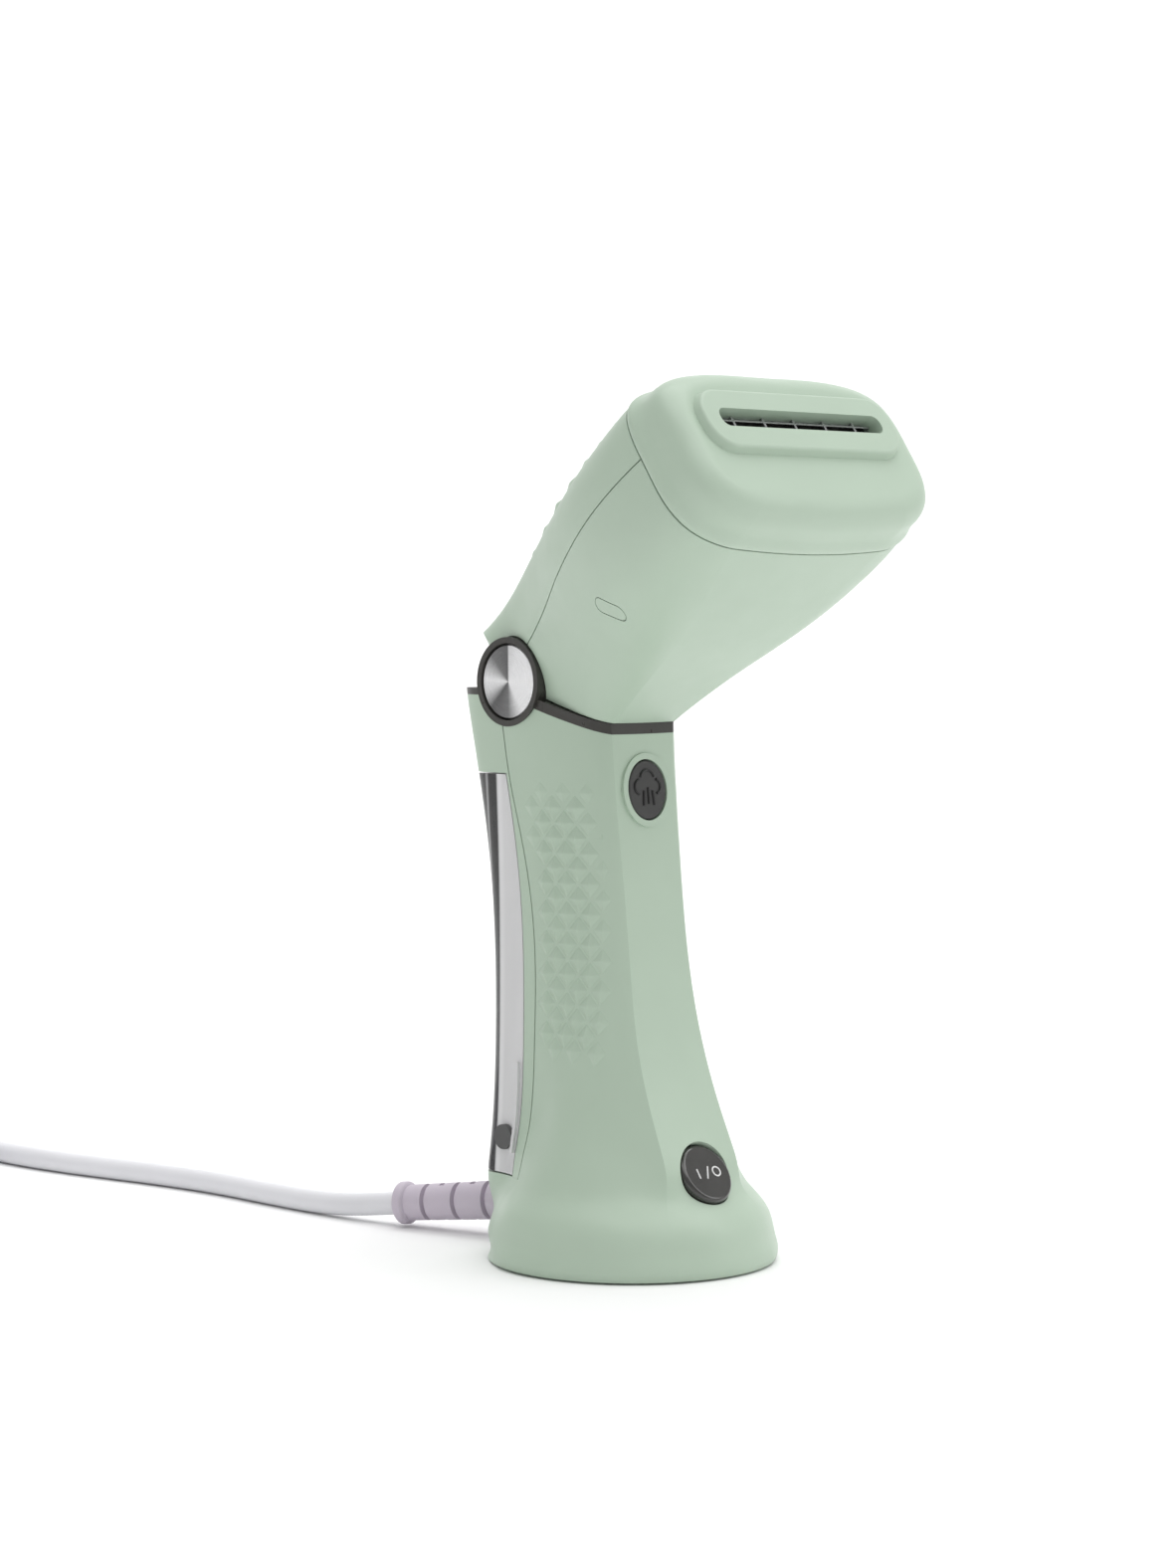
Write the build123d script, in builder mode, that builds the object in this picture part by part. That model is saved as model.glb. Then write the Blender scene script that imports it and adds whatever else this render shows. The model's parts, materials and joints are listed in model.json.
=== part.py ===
"""Handheld garment steamer: a tilting steam head on an upright handle with a rear water tank.

Millimetres, +Z up. The origin is the middle of the foot pad on the surface that it stands on, -Y is
the front with the two buttons, +Y is the back with the tank and the mains lead.
"""
import os
from math import acos, cos, pi, radians, sin, sqrt, tan
from typing import NamedTuple

from build123d import *

os.makedirs("parts", exist_ok=True)

# Driving dimensions
WALL = 2.2                 # moulded shells
TANK_WALL = 1.8
SEAM = 0.4                 # shadow line between two fixed shells
GAP = 0.35                 # between bodies that move apart
BASE_BOTTOM = 0.6          # the skirt stays this far above the surface
LEDGE_Z = 23.2             # step of the base that the tank stands on
TANK_BOTTOM, TANK_TOP = 23.6, 138.6
BAND = 3.0                 # height of the trim collar at the front
REAR_BAND_Z = (161.3, 163.3)
TRIM_FRONT = (-4.4, 153.6)  # y, z of the collar's top edge at the front
TRIM_SLOPE = 0.31

HINGE_Y, HINGE_Z = 28.8, 165.2
EAR_R, EAR_IN, EAR_OUT = 12.8, 15.5, 22.0
CAP_R, CAP_RECESS = 10.7, 2.6
PIN_R, RUNNING = 5.0, 0.05
KNUCKLE_R, KNUCKLE_HALF = 12.4, 14.2
SKIRT_R = 18.85            # the head's rear end turns inside the collar at this radius
SKIRT_HALF, SKIRT_SHOULDER = 18.4, 9.5

SIDE_CORNER = 1.6          # exponent of the curve from a crease to the side
ROUND_CORNER = 3.5         # exponent of the nose's outline
FOOT_BLEND = 14            # higher blends the body and its round foot more tightly
HEAD_RISE = 34.4           # degrees, the head's axis above the horizontal
PARTING_Q = 4.4            # height of the head's side seam above its axis
PARTING_REAR = -8.0       # behind this everything belongs to the rear cover
NOSE_SEAM, NOSE_FACE, NOSE_RIM = 100.4, 115.8, 118.2
SLOT_SIZE, SLOT_Q = (64.0, 5.9), 5.95

STEAM_BUTTON = (7.4, 8.4)              # half sizes
STEAM_BUTTON_AT = (0, -5.5, 134.7)
STEAM_BUTTON_OUT = (0, -0.9943, 0.1064)
POWER_BUTTON_R = 9.0
POWER_BUTTON_AT = (0, -28.9, 27.3)
POWER_BUTTON_OUT = (0, -0.8308, 0.5566)

PAD_R, PLATE_R, SCREW_CIRCLE = 30.0, 37.4, 33.9
INLET_Z, INLET_R = 31.0, 3.4
FILL_Y, FILL_Z, FILL_R = 30.0, 34.0, 3.6
RELIEF_NECK_R = 6.2

LATCH_AT, LATCH_SIZE, LATCH_TURN = (59.5, -15.5), (10.5, 4.4), -55
NOSE_ROUND = 7.0
RIM_SIZE, RIM_Q = (77.4, 21.0), 5.8
PLATE_BACK, LOUVRE_ROWS = 111.2, (-1.1, 1.1)
BOILER_U, BOILER_Q, BOILER_HALF = (44.0, 94.0), (-13.0, 11.0), 27.0
ELEMENT_Q = BOILER_Q[0] - 3.2
HOSE_R = 2.6

CORD_D = 7.0
CORD_R = CORD_D / 2
RELIEF_START, RELIEF_END = (2.3, 31.6, 13.1), (-14.0, 85.0, 6.9)
COIL_CENTRE = (-72.8, 302.8)
COIL_RADII = (30.5, 44.5)              # middles of the inner and outer turns
CROWN_R, CROWN_Z = 41.0, 16.7          # the half turn that lies on top
BLADE_PITCH = 12.7


class Section(NamedTuple):
    """Cross-section of a casing, symmetric about x = 0, with a flat front between two creases."""

    at: float              # place along the casing's axis
    front: float           # middle of the front
    crease: float          # half-width of the flat front
    half: float            # greatest half-width
    widest: float          # where the greatest half-width lies
    back: float            # middle of the back
    corner: float          # exponent of the back's corners, 2 is an ellipse
    roundness: float = 0   # 0 keeps the creases, 1 is a plain superellipse
    flare: tuple = (1, 1)  # half-axes, across and forward, of the round foot that the body grows out of
    inset: float = 0       # how far the whole outline is moved in


HANDLE = [
    Section(BASE_BOTTOM, -24.0, 12.0, 24.0, 0, 24.0, 2.5, flare=(41.3, 41.2)),
    Section(7, -24.0, 12.0, 24.0, 0, 26.0, 2.5, flare=(41.2, 41.1)),
    Section(12, -24.5, 13.0, 22.2, 3, 37.8, 4.4, flare=(40.2, 39.8)),
    Section(17, -25.5, 14.0, 22.2, 9, 41.2, 6.0, flare=(37.8, 36.7)),
    Section(22, -26.8, 14.0, 22.4, 10, 41.8, 7.0, flare=(33.6, 32.0)),
    Section(28, -28.0, 14.2, 22.0, 12, 41.5, 7.0, flare=(30.8, 27.8)),
    Section(36, -25.5, 14.0, 21.4, 13, 41.0, 6.8, flare=(27.4, 22.8)),
    Section(47, -20.9, 13.6, 20.8, 15, 40.7, 6.4, flare=(24.0, 16.8)),
    Section(62, -15.9, 13.0, 20.4, 16, 40.5, 6.2, flare=(20.2, 10.4)),
    Section(85, -11.4, 11.8, 20.1, 18, 40.7, 6.2, flare=(14.0, 7.0)),
    Section(112, -8.1, 11.6, 20.2, 19, 42.4, 6.8),
    Section(135, -5.6, 12.0, 20.9, 21, 45.5, 7.4),
    Section(152, -4.3, 12.3, 21.6, 23, 48.7, 7.4),
    Section(170, -3.0, 12.5, 21.9, 25, 51.2, 7.4),
]
HEAD = [
    Section(-24, -29.0, 11.0, 18.2, 4.4, 23.2, 4.5),
    Section(-4, -28.8, 11.3, 18.4, 4.4, 23.6, 4.5),
    Section(10, -28.6, 11.7, 20.4, 4.4, 24.6, 4.3),
    Section(20.4, -28.5, 12.2, 24.0, 4.4, 25.6, 4.0),
    Section(31.4, -28.4, 13.8, 28.8, 4.4, 26.2, 3.8, 0.1),
    Section(43.4, -28.3, 16.0, 34.7, 4.0, 26.4, 3.6, 0.25),
    Section(54.4, -28.5, 18.5, 39.4, 3.6, 26.4, 3.6, 0.4),
    Section(65, -28.5, 21.0, 43.2, 3.2, 26.4, 3.7, 0.6),
    Section(77, -27.9, 24.0, 46.2, 2.7, 26.6, 3.8, 0.8),
    Section(89, -26.8, 27.0, 47.6, 2.3, 26.9, 4.0, 1.0),
    Section(NOSE_SEAM, -25.6, 30.0, 47.6, 2.15, 27.1, 4.2, 1.0),
]
NOSE = [
    HEAD[-1],
    Section(104.5, -25.2, 30.0, 47.2, 1.9, 26.4, 4.2, 1.0),
    Section(NOSE_FACE - NOSE_ROUND, -24.8, 30.0, 46.6, 1.6, 25.6, 4.2, 1.0),
]

HEAD_AXIS = Vector(0, -cos(radians(HEAD_RISE)), sin(radians(HEAD_RISE)))
HEAD_UP = Vector(0, sin(radians(HEAD_RISE)), cos(radians(HEAD_RISE)))
HINGE = Vector(0, HINGE_Y, HINGE_Z)
SIDE = Plane.YZ
REACH = 70                 # half-length of cutters across the object


def head_point(x, u, q):
    """Point of the head, u along its axis from the hinge and q above it."""
    return HINGE + HEAD_AXIS * u + HEAD_UP * q + Vector(x, 0, 0)


def head_plane(u):
    """Plane across the head's axis, with q as its y."""
    return Plane(origin=head_point(0, u, 0), x_dir=(1, 0, 0), z_dir=HEAD_AXIS)


HEAD_SIDE = Plane(origin=HINGE, x_dir=HEAD_AXIS, z_dir=(-1, 0, 0))
HEAD_FLOOR = Plane(origin=HINGE, x_dir=(1, 0, 0), z_dir=HEAD_UP)


def trim_z(y):
    """Height of the collar's sloping top edge."""
    return TRIM_FRONT[1] + TRIM_SLOPE * (y - TRIM_FRONT[0])


def trim_y(z):
    """Inverse of trim_z."""
    return TRIM_FRONT[0] + (z - TRIM_FRONT[1]) / TRIM_SLOPE


def superellipse(angle, across, along, exponent):
    """Point of a superellipse's quarter."""
    return across * abs(cos(angle)) ** (2 / exponent), along * abs(sin(angle)) ** (2 / exponent)


def mix(first, second, share):
    return tuple(a + (b - a) * share for a, b in zip(first, second))


def flared(point, s, wall):
    """The point, pushed out to the round foot where that stands further out than the body."""
    x, y = point
    reach = sqrt(x * x + y * y)
    across = s.flare[0] - wall
    along = s.flare[1] - wall if y < 0 else across
    if across <= 0 or along <= 0 or reach == 0:
        return point
    foot = reach / sqrt((x / across) ** 2 + (y / along) ** 2)
    grown = (reach ** FOOT_BLEND + foot ** FOOT_BLEND) ** (1 / FOOT_BLEND)
    return x * grown / reach, y * grown / reach


def half_outline(s, wall):
    """Outline points from the right crease round to the middle of the back."""
    wall += s.inset
    front, back, half = s.front + wall, s.back - wall, s.half - wall
    crease = s.crease - 0.35 * wall
    middle, along = (front + back) / 2, (back - front) / 2
    crease_angle = acos((crease / half) ** (ROUND_CORNER / 2))
    points = []
    for step in range(5):
        turn = step / 4 * pi / 2
        out, forward = superellipse(pi / 2 - turn, half - crease, s.widest - front, SIDE_CORNER)
        creased = crease + out, s.widest - forward + (0.25 if step == 0 else 0)
        x, y = superellipse(crease_angle * (1 - step / 4), half, along, ROUND_CORNER)
        points.append(mix(creased, (x, middle - y), s.roundness))
    for turn in (radians(9), radians(32), radians(48), radians(66)):
        x, y = superellipse(turn, half, back - s.widest, s.corner)
        round_x, round_y = superellipse(turn, half, along, s.corner)
        points.append(mix((x, s.widest + y), (round_x, middle + round_y), s.roundness))
    points.append((0, back))
    return [flared(point, s, wall) for point in points]


def casing(sections, wall, plane_at):
    """Solid lofted through the sections, its surface moved in by the wall."""
    with BuildPart() as body:
        for s in sections:
            points = half_outline(s, wall)
            x, y = points[0]
            inset = wall + s.inset
            with BuildSketch(plane_at(s.at)):
                with BuildLine():
                    ThreePointArc((-x, y), flared((0, s.front + inset), s, inset), (x, y))
                    Spline(*points, *[(-px, py) for px, py in reversed(points[:-1])])
                make_face()
        loft()
    return body


def nose_body(wall):
    """The nose from its seam to its rounded-over flat face."""
    radius = NOSE_ROUND - wall
    rounding = [
        NOSE[-1]._replace(at=NOSE_FACE - wall - radius * (1 - sin(turn)),
                          inset=radius * (1 - cos(turn)))
        for turn in (radians(22), radians(45), radians(68), radians(90))
    ]
    return casing(NOSE + rounding, wall, head_plane)


def across(plane, *lines):
    """Solid right across the object, with the outline given as points on the plane."""
    with BuildPart() as slab:
        with BuildSketch(plane):
            with BuildLine():
                Polyline(*lines, close=True)
            make_face()
        extrude(amount=REACH, both=True)
    return slab


def hinge_discs(radius, inner, outer):
    """Two discs on the hinge axis, one on each side."""
    with BuildPart() as discs:
        for side in (-1, 1):
            with BuildSketch(Plane(origin=(side * inner, HINGE_Y, HINGE_Z), z_dir=(side, 0, 0))):
                Circle(radius)
            extrude(amount=outer - inner)
    return discs


def hinge_drum(radius, half):
    """One cylinder on the hinge axis, centred on the object."""
    with BuildPart() as drum:
        with BuildSketch(Plane(origin=(0, HINGE_Y, HINGE_Z), z_dir=(1, 0, 0))):
            Circle(radius)
        extrude(amount=half, both=True)
    return drum


def hinge_barrel(grow):
    """Round-shouldered body of revolution that the head's rear end turns in."""
    half, radius, shoulder = SKIRT_HALF + grow, SKIRT_R + grow, SKIRT_SHOULDER
    lower = 1 - sqrt(0.5)
    with BuildPart() as barrel:
        with BuildSketch(Plane(origin=HINGE, x_dir=(1, 0, 0), z_dir=(0, -1, 0))):
            with BuildLine():
                for side in (-1, 1):
                    Line((side * half, 0), (side * half, radius - shoulder))
                    ThreePointArc((side * half, radius - shoulder),
                                  (side * (half - lower * shoulder), radius - lower * shoulder),
                                  (side * (half - shoulder), radius))
                Line((shoulder - half, radius), (half - shoulder, radius))
                Line((-half, 0), (half, 0))
            make_face()
        revolve(axis=Axis(HINGE, (1, 0, 0)))
    return barrel


def save(piece, name):
    piece.part.label = name
    export_step(piece.part, f"parts/{name}.step")


def cylinder_between(start, end, radius, hole=0):
    """Round bar, or a tube if it has a hole."""
    start, end = Vector(*start), Vector(*end)
    with BuildPart() as bar:
        with BuildSketch(Plane(origin=start, z_dir=end - start)):
            Circle(radius)
            if hole:
                Circle(hole, mode=Mode.SUBTRACT)
        extrude(amount=(end - start).length)
    return bar


# ---------------------------------------------------------------- casing volumes
handle_outer = casing(HANDLE, 0, Plane.XY.offset)
handle_inner = casing(HANDLE, WALL, Plane.XY.offset)
tank_inner = casing(HANDLE, TANK_WALL, Plane.XY.offset)
head_outer = casing(HEAD, 0, head_plane)
head_inner = casing(HEAD, WALL, head_plane)

below_collar = across(
    SIDE, (-60, -5), (-60, trim_z(-60) - BAND), (trim_y(REAR_BAND_Z[0] + BAND), REAR_BAND_Z[0]),
    (60, REAR_BAND_Z[0]), (60, -5))
below_collar_top = across(
    SIDE, (-60, -5), (-60, trim_z(-60)), (trim_y(REAR_BAND_Z[1]), REAR_BAND_Z[1]),
    (60, REAR_BAND_Z[1]), (60, -5))
ear_space = hinge_discs(EAR_R, EAR_IN - 0.1, EAR_OUT + 5)
swing_space = hinge_barrel(0.4)


def behind(points, z_low, z_high):
    """Everything behind a curve in the side view, between two heights."""
    with BuildPart() as region:
        with BuildSketch(SIDE):
            with BuildLine():
                Spline(*points)
                Polyline(points[-1], (60, z_high), (60, z_low), points[0])
            make_face()
        extrude(amount=REACH, both=True)
    return region


def moved(points, dy):
    return [(y + dy, z) for y, z in points]


SEAM_LINE = [(19.6, LEDGE_Z), (19.3, 60), (20.0, 96), (25.4, 124), (29.4, 140), (31.2, 154), (31.8, 170)]
TANK_LINE = [(25.0, TANK_BOTTOM), (23.9, 58), (24.6, 96), (27.4, 122), (30.4, TANK_TOP)]
BAY_LINE = [(25.0, LEDGE_Z - 1), (23.9, 58), (24.6, 96), (27.4, 122), (30.4, TANK_TOP + GAP)]

rear_space = behind(SEAM_LINE, LEDGE_Z, 170)
rear_space_front = behind(moved(SEAM_LINE, -SEAM), LEDGE_Z - SEAM, 170)
tank_space = behind(TANK_LINE, TANK_BOTTOM, TANK_TOP)
bay_space = behind(moved(BAY_LINE, -GAP), LEDGE_Z - 1, TANK_TOP + GAP)
bay_wall_space = behind(moved(BAY_LINE, -GAP - WALL), LEDGE_Z - 1, TANK_TOP + GAP + WALL)

# ---------------------------------------------------------------- handle
steam_plane = Plane(origin=STEAM_BUTTON_AT, x_dir=(1, 0, 0), z_dir=STEAM_BUTTON_OUT)
power_plane = Plane(origin=POWER_BUTTON_AT, x_dir=(1, 0, 0), z_dir=POWER_BUTTON_OUT)
relief_axis = (Vector(*RELIEF_END) - Vector(*RELIEF_START)).normalized()
relief_length = (Vector(*RELIEF_END) - Vector(*RELIEF_START)).length


def relief_plane(distance):
    """Plane across the strain relief, this far along it."""
    return Plane(origin=Vector(*RELIEF_START) + relief_axis * distance, z_dir=relief_axis)


with BuildPart() as ledge:
    add(handle_inner.part)
    add(across(SIDE, (17, LEDGE_Z - SEAM - WALL), (60, LEDGE_Z - SEAM - WALL),
               (60, LEDGE_Z - SEAM), (17, LEDGE_Z - SEAM)).part, mode=Mode.INTERSECT)

with BuildPart() as front_housing:
    add(handle_outer.part)
    add(handle_inner.part, mode=Mode.SUBTRACT)
    add(rear_space_front.part, mode=Mode.SUBTRACT)
    add(below_collar.part, mode=Mode.INTERSECT)
    add(ledge.part)
    add(ear_space.part, mode=Mode.SUBTRACT)
    # raised ring round the steam button
    with BuildSketch(steam_plane.offset(-WALL + 0.2)):
        Ellipse(STEAM_BUTTON[0] + 2.1, STEAM_BUTTON[1] + 2.1)
    extrude(amount=WALL + 0.6)
    with BuildSketch(steam_plane.offset(-WALL - 2)):
        Ellipse(STEAM_BUTTON[0] + GAP, STEAM_BUTTON[1] + GAP)
    extrude(amount=WALL + 6, mode=Mode.SUBTRACT)
    # seat of the power button
    with BuildSketch(power_plane.offset(-8.5)):
        Circle(POWER_BUTTON_R + 3.4)
    extrude(amount=5)
    with BuildSketch(power_plane.offset(-12)):
        Circle(POWER_BUTTON_R + 1.6)
    extrude(amount=7.4, mode=Mode.SUBTRACT)
    with BuildSketch(power_plane.offset(-6)):
        Circle(POWER_BUTTON_R + GAP)
    extrude(amount=12, mode=Mode.SUBTRACT)
    # hole of the strain relief
    with BuildSketch(relief_plane(0)):
        Circle(RELIEF_NECK_R)
    extrude(amount=12, mode=Mode.SUBTRACT)
save(front_housing, "front_housing")

with BuildPart() as bay_wall:
    add(handle_inner.part)
    add(bay_wall_space.part, mode=Mode.INTERSECT)
    add(bay_space.part, mode=Mode.SUBTRACT)
    add(across(SIDE, (0, LEDGE_Z), (60, LEDGE_Z), (60, 170), (0, 170)).part, mode=Mode.INTERSECT)
    with BuildSketch(Plane.XZ.offset(-15)):
        with Locations((0, INLET_Z)):
            Circle(INLET_R + 1.6)
    extrude(amount=-15, mode=Mode.SUBTRACT)

with BuildPart() as rear_housing:
    add(handle_outer.part)
    add(handle_inner.part, mode=Mode.SUBTRACT)
    add(rear_space.part, mode=Mode.INTERSECT)
    add(bay_space.part, mode=Mode.SUBTRACT)
    add(below_collar.part, mode=Mode.INTERSECT)
    add(bay_wall.part)
    add(ear_space.part, mode=Mode.SUBTRACT)
    add(swing_space.part, mode=Mode.SUBTRACT)
save(rear_housing, "rear_housing")

with BuildPart() as collar_web:
    add(handle_inner.part)
    add(across(SIDE, (-30, trim_z(-30) - BAND), (17.5, trim_z(17.5) - BAND),
               (17.5, trim_z(17.5) - BAND + 1.6), (-30, trim_z(-30) - BAND + 1.6)).part,
        mode=Mode.INTERSECT)

with BuildPart() as trim_collar:
    add(handle_outer.part)
    add(handle_inner.part, mode=Mode.SUBTRACT)
    add(below_collar_top.part, mode=Mode.INTERSECT)
    add(below_collar.part, mode=Mode.SUBTRACT)
    add(collar_web.part)
    add(swing_space.part, mode=Mode.SUBTRACT)
    add(hinge_discs(EAR_R, EAR_IN, EAR_OUT).part)
    add(hinge_discs(CAP_R + 0.35, EAR_OUT - CAP_RECESS, EAR_OUT + 3).part, mode=Mode.SUBTRACT)
    add(hinge_drum(PIN_R, EAR_OUT + 1).part, mode=Mode.SUBTRACT)
save(trim_collar, "trim_collar")

for name, side in (("left", -1), ("right", 1)):
    hinge_pin = cylinder_between((side * 6, HINGE_Y, HINGE_Z),
                                 (side * (EAR_OUT - CAP_RECESS), HINGE_Y, HINGE_Z), PIN_R, 3.2)
    save(hinge_pin, f"hinge_pin_{name}")

    friction_washer = cylinder_between((side * (KNUCKLE_HALF + 0.3), HINGE_Y, HINGE_Z),
                                       (side * EAR_IN, HINGE_Y, HINGE_Z), 10.5, PIN_R)
    save(friction_washer, f"friction_washer_{name}")

    with BuildPart() as hinge_cap:
        with BuildSketch(Plane(origin=(side * (EAR_OUT - CAP_RECESS), HINGE_Y, HINGE_Z),
                               z_dir=(side, 0, 0))):
            Circle(CAP_R)
        extrude(amount=CAP_RECESS - 0.5)
        chamfer(hinge_cap.faces().sort_by(Axis.X)[0 if side < 0 else -1].edges(), 0.35)
    save(hinge_cap, f"hinge_cap_{name}")

with BuildPart() as foot_pad:
    with BuildSketch(Plane.XY):
        Circle(PAD_R)
    extrude(amount=1.6)
save(foot_pad, "foot_pad")

with BuildPart() as base_plate:
    with BuildSketch(Plane.XY.offset(BASE_BOTTOM + 0.2)):
        Circle(PLATE_R)
    extrude(amount=2.4)
    with BuildSketch(Plane.XY):
        Circle(PAD_R)
    extrude(amount=1.6, mode=Mode.SUBTRACT)
    with PolarLocations(SCREW_CIRCLE, 3, start_angle=30):
        Hole(1.6)
        with Locations((0, 0, 3)):
            Cylinder(3.4, 5.5, align=(Align.CENTER, Align.CENTER, Align.MIN))
            Cylinder(1.6, 8, align=(Align.CENTER, Align.CENTER, Align.MIN), mode=Mode.SUBTRACT)
save(base_plate, "base_plate")

with BuildPart() as base_screws:
    with PolarLocations(SCREW_CIRCLE, 3, start_angle=30):
        with Locations((0, 0, 0.9)):
            Cylinder(1.5, 7, align=(Align.CENTER, Align.CENTER, Align.MIN))
save(base_screws, "base_screws")

with BuildPart() as pump:
    with BuildSketch(Plane.XY.offset(44)):
        with Locations((0, 6)):
            Circle(9.5)
    extrude(amount=34)
    with BuildSketch(Plane.XY.offset(78)):
        with Locations((0, 6)):
            Circle(5)
    extrude(amount=6)
    with BuildSketch(Plane.XY.offset(38)):
        with Locations((0, 6)):
            Circle(5)
    extrude(amount=6)
    with BuildSketch(Plane.XY.offset(54)):
        with Locations((0, 6)):
            RectangleRounded(23, 19, 2)
    extrude(amount=14)
save(pump, "pump")

with BuildPart() as pump_bracket:
    with BuildSketch(Plane.XY.offset(50)):
        with Locations((0, 6)):
            RectangleRounded(34, 22, 2)
            Circle(9.6, mode=Mode.SUBTRACT)
    extrude(amount=3)
save(pump_bracket, "pump_bracket")

with BuildPart() as control_board:
    with Locations((0, 2, 106)):
        Box(28, 1.6, 40)
    with Locations((-6, -1.8, 100)):
        Box(10, 6, 14)
    with Locations((7, 6, 98)):
        Cylinder(4, 12)
    with Locations((6, -0.8, 116)):
        Box(12, 4, 6)
    with Locations((-6, 5, 112)):
        Box(14, 4.4, 10)
save(control_board, "control_board")

with BuildPart() as steam_button:
    with BuildSketch(steam_plane.offset(-4.2)):
        Ellipse(STEAM_BUTTON[0] + 1.4, STEAM_BUTTON[1] + 1.4)
    extrude(amount=1.2)
    with BuildSketch(steam_plane.offset(-4.2)):
        Ellipse(*STEAM_BUTTON)
    extrude(amount=4.9)
    fillet(steam_button.faces().sort_by(Axis(STEAM_BUTTON_AT, STEAM_BUTTON_OUT))[-1].edges(), 0.6)
    with BuildSketch(steam_plane.offset(-5.6)):
        Circle(2.4)
    extrude(amount=1.6)
save(steam_button, "steam_button")

with BuildPart() as steam_switch:
    with BuildSketch(steam_plane.offset(-12.5)):
        RectangleRounded(12, 9, 0.8)
    extrude(amount=4)
    with BuildSketch(steam_plane.offset(-8.6)):
        Circle(1.7)
    extrude(amount=1.2)
save(steam_switch, "steam_switch")

with BuildPart() as power_button:
    with BuildSketch(power_plane.offset(-7.5)):
        Circle(POWER_BUTTON_R)
    extrude(amount=9)
    fillet(power_button.faces().sort_by(Axis(POWER_BUTTON_AT, POWER_BUTTON_OUT))[-1].edges(), 1.3)
save(power_button, "power_button")

with BuildPart() as power_bezel:
    with BuildSketch(power_plane.offset(-8)):
        Circle(POWER_BUTTON_R + 1.6)
        Circle(POWER_BUTTON_R + GAP, mode=Mode.SUBTRACT)
    extrude(amount=3.2)
save(power_bezel, "power_bezel")

with BuildPart() as power_switch:
    with BuildSketch(power_plane.offset(-24)):
        RectangleRounded(14, 12, 1)
    extrude(amount=13)
    with BuildSketch(power_plane.offset(-11)):
        RectangleRounded(5, 5, 0.8)
    extrude(amount=1.1)
save(power_switch, "power_switch")

with BuildPart() as terminal_block:
    with Locations((14, 8, 7.4)):
        Box(10, 22, 8)
    with Locations(*[(14, y, 11.4) for y in (0.5, 8, 15.5)]):
        Cylinder(2.4, 3)
save(terminal_block, "terminal_block")

# ---------------------------------------------------------------- water tank
with BuildPart() as tank_hollow:
    add(tank_inner.part)
    add(behind(moved(TANK_LINE, TANK_WALL), TANK_BOTTOM, TANK_TOP).part, mode=Mode.INTERSECT)
    add(across(SIDE, (0, TANK_BOTTOM + TANK_WALL), (60, TANK_BOTTOM + TANK_WALL),
               (60, TANK_TOP - TANK_WALL), (0, TANK_TOP - TANK_WALL)).part, mode=Mode.INTERSECT)

with BuildPart() as water_tank:
    add(handle_outer.part)
    add(tank_space.part, mode=Mode.INTERSECT)
    add(tank_hollow.part, mode=Mode.SUBTRACT)
    # outlet spigot hole at the front, fill hole low on the left
    with BuildSketch(Plane.XZ.offset(-20)):
        with Locations((0, INLET_Z)):
            Circle(INLET_R)
    extrude(amount=-9, mode=Mode.SUBTRACT)
    with BuildSketch(Plane.YZ.offset(-32)):
        with Locations((FILL_Y, FILL_Z)):
            Circle(FILL_R)
    extrude(amount=16, mode=Mode.SUBTRACT)
save(water_tank, "water_tank")

with BuildPart() as tank_valve:
    with BuildSketch(Plane.XZ.offset(-22.4)):
        with Locations((0, INLET_Z)):
            Circle(INLET_R)
    extrude(amount=-9)
    with BuildSketch(Plane.XZ.offset(-28)):
        with Locations((0, INLET_Z)):
            Circle(INLET_R + 1.8)
    extrude(amount=-3)
save(tank_valve, "tank_valve")

with BuildPart() as inlet_seal:
    with BuildSketch(Plane.XZ.offset(-18.4)):
        with Locations((0, INLET_Z)):
            Circle(INLET_R + 1.6)
            Circle(1.6, mode=Mode.SUBTRACT)
    extrude(amount=-3.6)
save(inlet_seal, "inlet_seal")

with BuildPart() as fill_plug:
    with BuildSketch(Plane.YZ.offset(-22.8)):
        with Locations((FILL_Y, FILL_Z)):
            Circle(FILL_R)
    extrude(amount=5.2)
save(fill_plug, "fill_plug")

with BuildPart() as tank_rail:
    add(casing(HANDLE, -1.0, Plane.XY.offset).part)
    add(handle_outer.part, mode=Mode.SUBTRACT)
    add(across(SIDE, (25.0, 30), (26.3, 30), (26.0, 56), (25.0, 56)).part, mode=Mode.INTERSECT)
save(tank_rail, "tank_rail")

with BuildPart() as tank_latch:
    with Locations((0, 37.5, TANK_TOP - TANK_WALL - 4)):
        Box(22, 9, 8)
    fillet(tank_latch.edges().filter_by(Axis.Z), 2)
save(tank_latch, "tank_latch")

# ---------------------------------------------------------------- head
REAR_EDGE_ANGLE = radians(38)


def hinge_polar(radius, angle):
    """Side-view point around the hinge, the angle rising from the back."""
    return HINGE_Y + radius * cos(angle), HINGE_Z + radius * sin(angle)


def side_view(u, q):
    point = head_point(0, u, q)
    return point.Y, point.Z


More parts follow.
